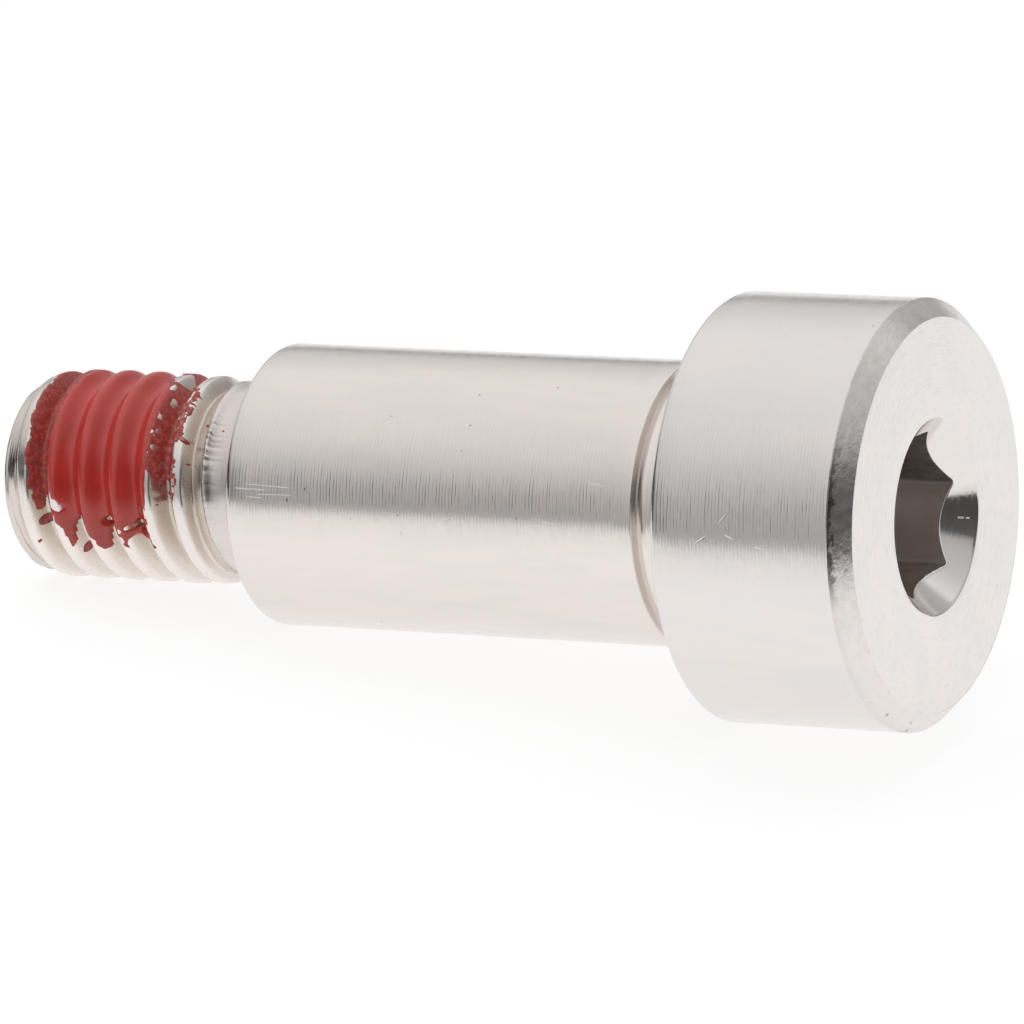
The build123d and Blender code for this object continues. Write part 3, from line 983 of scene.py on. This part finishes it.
def steel_material(sizes):
    """Bright steel with circumferential tool marks, a broached socket darkened partly by oil and
    oxide and partly by painted shade, and painted tan shade in the thread roots.
    """
    material, nodes = new_material("turned_steel")
    at = SurfacePoint(nodes, sizes)
    socket, threaded = nodes.attribute("socket"), nodes.attribute("threaded")
    # The chamfer is where station plus radius is at its greatest
    chamfer_at = (sizes.head_height + sizes.head_diameter / 2 - sizes.head_chamfer) * MM
    chamfer = nodes.span(at.across, chamfer_at - 0.03, chamfer_at - 0.005)
    mouth = mouth_radius(sizes) * MM
    on_head = nodes.math("GREATER_THAN", at.station, 2.0)
    cone = nodes.times(nodes.span(at.radius, mouth + 0.03, mouth), on_head)
    torn_at = stretched(nodes, nodes.times(at.radius, 1.6), at, 0.8)
    torn = nodes.noise(torn_at, 5.0, 3.0, 0.7)
    dashes = nodes.noise(stretched(nodes, at.across, at, 0.45), 9.0, 2.0, 0.6)
    light, nicks = scratch_masks(nodes, at)
    pit = pit_mask(nodes, at, nicks)

    base = thread_colour(nodes, sizes, at, threaded, bare_steel(nodes, sizes, at))
    base = nodes.mix(pit, base, PIT_COLOUR)
    base = chamfer_colour(nodes, sizes, at, chamfer, torn, base)
    # The socket: partly oil and oxide, partly painted shade, with painted light on its lit flats
    base = nodes.mix(socket, base, socket_flats(nodes, sizes, at))

    rough = nodes.span(dashes, 0.3, 0.7, 0.15, 0.23)
    for mask, more in ((socket, 0.18), (chamfer, 0.12), (threaded, 0.07), (cone, -0.05)):
        rough = nodes.plus(rough, nodes.times(mask, more))

    other = nodes.math("MAXIMUM", cone, nodes.math("MAXIMUM", socket, threaded))
    height = nodes.times(feed_marks(nodes, at), nodes.minus(1.0, other))
    for mask, more in ((dashes, 0.40), (nodes.times(torn, chamfer), 3.0), (light, -2.0),
                       (nodes.times(dashes, threaded), 0.5)):
        height = nodes.plus(height, nodes.times(mask, more))

    shader = nodes.add("ShaderNodeBsdfPrincipled")
    nodes.link(nodes.minus(1.0, nodes.times(socket, 0.15)), shader.inputs["Metallic"])
    nodes.link(base, shader.inputs["Base Color"])
    nodes.link(rough, shader.inputs["Roughness"])
    nodes.link(nodes.bump(height, 1.0, MARK_HEIGHT), shader.inputs["Normal"])
    shader.inputs["Anisotropic"].default_value = 0.5
    tangent = nodes.add("ShaderNodeTangent", direction_type="UV_MAP", uv_map=TURNED_MAP)
    nodes.link(tangent.outputs[0], shader.inputs["Tangent"])
    nodes.surface(shader.outputs[0])
    return material


def powder_colour(nodes, patch, point, speck):
    """Red powder with duller patches and, where it is loose, flecks of the steel under it."""
    powder = nodes.mix(nodes.span(speck, 0.4, 0.6),
                       tuple(patch.powder_colour), shade(patch.powder_colour, 1.5))
    patches = nodes.noise(point, 2.2, 3.0, 0.6)
    powder = nodes.mix(nodes.times(nodes.span(patches, 0.45, 0.7), 0.4), powder, DULL_POWDER_COLOUR)
    flecks = nodes.span(nodes.noise(point, 9.0, 2.0, 0.65), 0.53, 0.58)
    loose = nodes.span(nodes.attribute("loose"), 0.0, 0.7, 0.12, 0.8)
    return nodes.mix(nodes.times(flecks, loose), powder, FLECK_COLOUR)


def nylon_material(sizes, patch):
    """Fused red nylon: glossy where it is thick, dull and darker where it is powder."""
    material, nodes = new_material("locking_nylon")
    point = nodes.combine(*bolt_axes(nodes, sizes))
    thick = nodes.attribute("thick")
    speck = nodes.noise(point, 9.0, 3.0, 0.6)
    cloud = nodes.noise(point, 1.6, 2.0, 0.5)
    solid = nodes.mix(nodes.span(cloud, 0.35, 0.65), shade(patch.colour, 0.88), tuple(patch.colour))
    shader = nodes.add("ShaderNodeBsdfPrincipled")
    nodes.link(nodes.mix(thick, powder_colour(nodes, patch, point, speck), solid),
               shader.inputs["Base Color"])
    nodes.link(nodes.span(thick, 0.0, 1.0, 0.5, 0.27), shader.inputs["Roughness"])
    height = nodes.times(speck, nodes.span(thick, 0.0, 1.0, 0.22, 0.10))
    nodes.link(nodes.bump(height, 0.5, SPECK_HEIGHT), shader.inputs["Normal"])
    shader.inputs["IOR"].default_value = 1.70
    shader.inputs["Subsurface Weight"].default_value = 0.15
    shader.inputs["Subsurface Radius"].default_value = (1.0, 0.2, 0.1)
    shader.inputs["Subsurface Scale"].default_value = 0.0002
    nodes.surface(shader.outputs[0])
    return material


# ---------------------------------------------------------------- floor, light and camera

FLOOR_SIDES = 96
SHADOWED_FLOOR = (0.30, 0.30, 0.30)
FLOOR_GLOW = 0.80                           # added for the camera, so that the sheet looks white
# A painted pool of light, which the floor shows in gloss: its centre, its reach and its levels
POOL_CENTRE = (0.012, 0.015, 0.0)
POOL_REACH, POOL_LEVELS = (0.028, 0.100), (0.78, 0.50)
LAMP_PLACE, LAMP_TILT = (-0.02, -0.02, 0.2), math.radians(-8)
LAMP_SIZE, LAMP_WATTS = (0.12, 0.08), 0.02
SENSOR_WIDTH = 36                           # millimetres
CLIP = (0.01, 10)

# The tent's grey by height, from 0 straight down to 1 straight up
TENT_FRONT = ((0.0, 1.0), (0.465, 1.0), (0.472, 0.46), (0.56, 0.47), (0.63, 0.51), (0.68, 0.58),
              (0.76, 0.67), (0.86, 0.82), (1.0, 0.93))
TENT_BACK = ((0.0, 1.0), (0.48, 1.0), (0.505, 0.30), (0.55, 0.38), (0.58, 0.60), (0.65, 0.72),
             (0.72, 0.79), (0.8, 0.90), (1.0, 0.93))
# Its darker sides: direction, cosines between which it darkens, heights between which it ends
# again (over 1 is never), and how dark it gets
TENT_SIDES = (((0.85, -0.52, 0.0), 0.64, 0.78, 0.52, 0.62, 0.22),
              ((0.93, 0.0, 0.36), 0.45, 0.90, 1.2, 1.3, 0.66),
              ((-0.90, -0.44, 0.0), 0.86, 0.94, 0.26, 0.42, 0.06),
              ((0.27, 0.87, 0.41), 0.94, 0.985, 1.2, 1.3, 0.6))


def floor_material(colour):
    """A pale floor that shows white to the camera and in gloss, with a painted pool of light in
    gloss, and keeps the shadow on it.
    """
    material, nodes = new_material("pale_floor")
    path = nodes.add("ShaderNodeLightPath")
    camera, glossy, through = (
        path.outputs[name] for name in ("Is Camera Ray", "Is Glossy Ray", "Is Transmission Ray"))
    shiny = nodes.math("MAXIMUM", glossy, through)
    seen = nodes.math("MAXIMUM", camera, shiny)
    shadowed = nodes.add("ShaderNodeBsdfDiffuse")
    shadowed.inputs["Color"].default_value = (*SHADOWED_FLOOR, 1)
    # A painted pool of light: the sheet's glow in gloss fades away from the lamp's side, and its
    # reflection shows that
    sheet = nodes.add("ShaderNodeTexCoord").outputs["Object"]
    away = nodes.vector("LENGTH", nodes.vector("SUBTRACT", sheet, POOL_CENTRE))
    pool = nodes.span(away, *POOL_REACH, *POOL_LEVELS, smooth=False)
    glow = nodes.add("ShaderNodeEmission")
    level = nodes.plus(nodes.times(camera, FLOOR_GLOW), nodes.times(shiny, pool))
    nodes.link(level, glow.inputs["Strength"])
    both = nodes.add("ShaderNodeAddShader")
    nodes.link(shadowed.outputs[0], both.inputs[0])
    nodes.link(glow.outputs[0], both.inputs[1])
    plain = nodes.add("ShaderNodeBsdfDiffuse")
    plain.inputs["Color"].default_value = (*colour, 1)
    mixed = nodes.add("ShaderNodeMixShader")
    nodes.link(seen, mixed.inputs[0])
    nodes.link(plain.outputs[0], mixed.inputs[1])
    nodes.link(both.outputs[0], mixed.inputs[2])
    nodes.surface(mixed.outputs[0])
    return material


def grey_ramp(nodes, height, stops):
    """Grey by height: levels at the stops, and straight lines between them."""
    node = nodes.add("ShaderNodeValToRGB")
    elements = node.color_ramp.elements
    for element, (position, level) in zip(elements, (stops[0], stops[-1])):
        element.position, element.color = position, (level, level, level, 1)
    for position, level in stops[1:-1]:
        elements.new(position).color = (level, level, level, 1)
    nodes.link(height, node.inputs[0])
    return node.outputs[0]


def light_tent(world):
    """A white tent whose front and back are grey near the horizon, with darker patches on it."""
    world.use_nodes = True
    nodes = Nodes(world.node_tree)
    direction = nodes.add("ShaderNodeTexCoord").outputs["Generated"]
    split = nodes.add("ShaderNodeSeparateXYZ")
    nodes.link(direction, split.inputs[0])
    toward_y, toward_z = split.outputs[1], split.outputs[2]
    height = nodes.span(toward_z, -1.0, 1.0, smooth=False)
    front, back = (grey_ramp(nodes, height, stops) for stops in (TENT_FRONT, TENT_BACK))
    level = nodes.mix(nodes.span(toward_y, -0.3, 0.5), front, back)
    above_floor = nodes.span(toward_z, -0.06, -0.04)
    shading = 1.0
    for toward, wide, narrow, low, high, dark in TENT_SIDES:
        side = nodes.span(nodes.vector("DOT_PRODUCT", direction, toward), wide, narrow)
        mask = nodes.times(nodes.times(side, nodes.span(toward_z, high, low)), above_floor)
        shading = nodes.times(shading, nodes.span(mask, 0.0, 1.0, 1.0, dark, smooth=False))
    shade_of_tent = nodes.vector("MULTIPLY", level, nodes.combine(shading, shading, shading))
    camera = nodes.add("ShaderNodeLightPath").outputs["Is Camera Ray"]
    background = nodes.add("ShaderNodeBackground")
    nodes.link(nodes.mix(camera, shade_of_tent, (1.0, 1.0, 1.0)), background.inputs["Color"])
    background.inputs["Strength"].default_value = 1.0
    nodes.surface(background.outputs[0], "ShaderNodeOutputWorld")


def make_floor(stage):
    """A round sheet: a fan of triangles about its centre."""
    number = np.arange(FLOOR_SIDES)
    around = number * 2 * np.pi / FLOOR_SIDES
    rim = np.stack((np.cos(around), np.sin(around), 0 * around), axis=-1) * stage.floor_radius
    centre = np.full(FLOOR_SIDES, FLOOR_SIDES)
    fan = np.stack((number, (number + 1) % FLOOR_SIDES, centre), axis=-1)
    floor = put_mesh("floor", np.vstack((rim, np.zeros((1, 3)))), np.zeros((0, 4)), fan)
    floor.data.materials.append(floor_material(stage.floor_colour))
    return floor


def add_lamp(scene):
    """A wide soft lamp overhead, tilted a little, that leaves no highlight of its own."""
    lamp = bpy.data.lights.new("soft_top", "AREA")
    lamp.shape, lamp.energy = "RECTANGLE", LAMP_WATTS
    lamp.size, lamp.size_y = LAMP_SIZE
    top = bpy.data.objects.new("soft_top", lamp)
    top.matrix_world = Matrix.Translation(LAMP_PLACE) @ Matrix.Rotation(LAMP_TILT, 4, "X")
    top.visible_glossy = False
    scene.collection.objects.link(top)


def add_camera(scene, stage):
    """A camera that looks at a point beside the face's centre, from the azimuth and elevation."""
    a, e = stage.azimuth, stage.elevation
    right = Vector((math.cos(a), math.sin(a), 0))
    above = Vector((-math.sin(e) * math.sin(a), math.sin(e) * math.cos(a), math.cos(e)))
    back = Vector((math.sin(a) * math.cos(e), -math.cos(a) * math.cos(e), math.sin(e)))
    aim = Vector(mount("hex_socket")) - right * stage.shift_left + above * stage.shift_up
    data = bpy.data.cameras.new("camera")
    data.lens, data.sensor_width = stage.lens, SENSOR_WIDTH
    data.clip_start, data.clip_end = CLIP
    camera = bpy.data.objects.new("camera", data)
    turned = Matrix((right, above, back)).transposed().to_4x4()
    camera.matrix_world = Matrix.Translation(aim + back * stage.distance) @ turned
    scene.collection.objects.link(camera)
    scene.camera = camera


# ---------------------------------------------------------------- operators

class MakeSteel(bpy.types.Operator):
    """Makes the turned steel bolt in one closed piece"""
    bl_idname = "shoulder_bolt.make_steel"
    bl_label = "Steel bolt"

    def execute(self, context):
        sizes = context.scene.bolt_steel
        steel = make_steel(sizes)
        steel.data.materials.append(steel_material(sizes))
        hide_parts("bolt")
        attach(steel, "root")
        return {"FINISHED"}


class MakePatch(bpy.types.Operator):
    """Makes the fused nylon patch on the thread"""
    bl_idname = "shoulder_bolt.make_patch"
    bl_label = "Locking patch"

    def execute(self, context):
        sizes, patch = context.scene.bolt_steel, context.scene.bolt_patch
        coat = make_patch(sizes, patch)
        coat.data.materials.append(nylon_material(sizes, patch))
        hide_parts("locking_patch")
        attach(coat, "root")
        return {"FINISHED"}


class SetStage(bpy.types.Operator):
    """Makes the floor, the light and the camera"""
    bl_idname = "shoulder_bolt.set_stage"
    bl_label = "Floor, light and camera"

    def execute(self, context):
        scene, stage = context.scene, context.scene.bolt_stage
        floor = make_floor(stage)
        scene.world = bpy.data.worlds.new("light_tent")
        light_tent(scene.world)
        add_lamp(scene)
        add_camera(scene, stage)
        scene.view_settings.view_transform = "Standard"
        return {"FINISHED"}


class BoltPanel(bpy.types.Panel):
    """Lists the pieces and their settings"""
    bl_idname = "VIEW3D_PT_shoulder_bolt"
    bl_label = "Shoulder bolt"
    bl_space_type = "VIEW_3D"
    bl_region_type = "UI"
    bl_category = "Shoulder bolt"

    def draw(self, context):
        for name, operator in (
                ("bolt_steel", MakeSteel), ("bolt_patch", MakePatch), ("bolt_stage", SetStage)):
            box = self.layout.box()
            box.operator(operator.bl_idname)
            group = getattr(context.scene, name)
            for key in group.__annotations__:
                box.prop(group, key)


CLASSES = (SteelSettings, PatchSettings, StageSettings, MakeSteel, MakePatch, SetStage, BoltPanel)


def register():
    for cls in CLASSES:
        bpy.utils.register_class(cls)
    bpy.types.Scene.bolt_steel = bpy.props.PointerProperty(type=SteelSettings)
    bpy.types.Scene.bolt_patch = bpy.props.PointerProperty(type=PatchSettings)
    bpy.types.Scene.bolt_stage = bpy.props.PointerProperty(type=StageSettings)


def unregister():
    del bpy.types.Scene.bolt_stage
    del bpy.types.Scene.bolt_patch
    del bpy.types.Scene.bolt_steel
    for cls in reversed(CLASSES):
        bpy.utils.unregister_class(cls)


def main():
    register()
    bpy.ops.shoulder_bolt.make_steel()
    bpy.ops.shoulder_bolt.make_patch()
    bpy.ops.shoulder_bolt.set_stage()


if __name__ == "__main__":
    main()
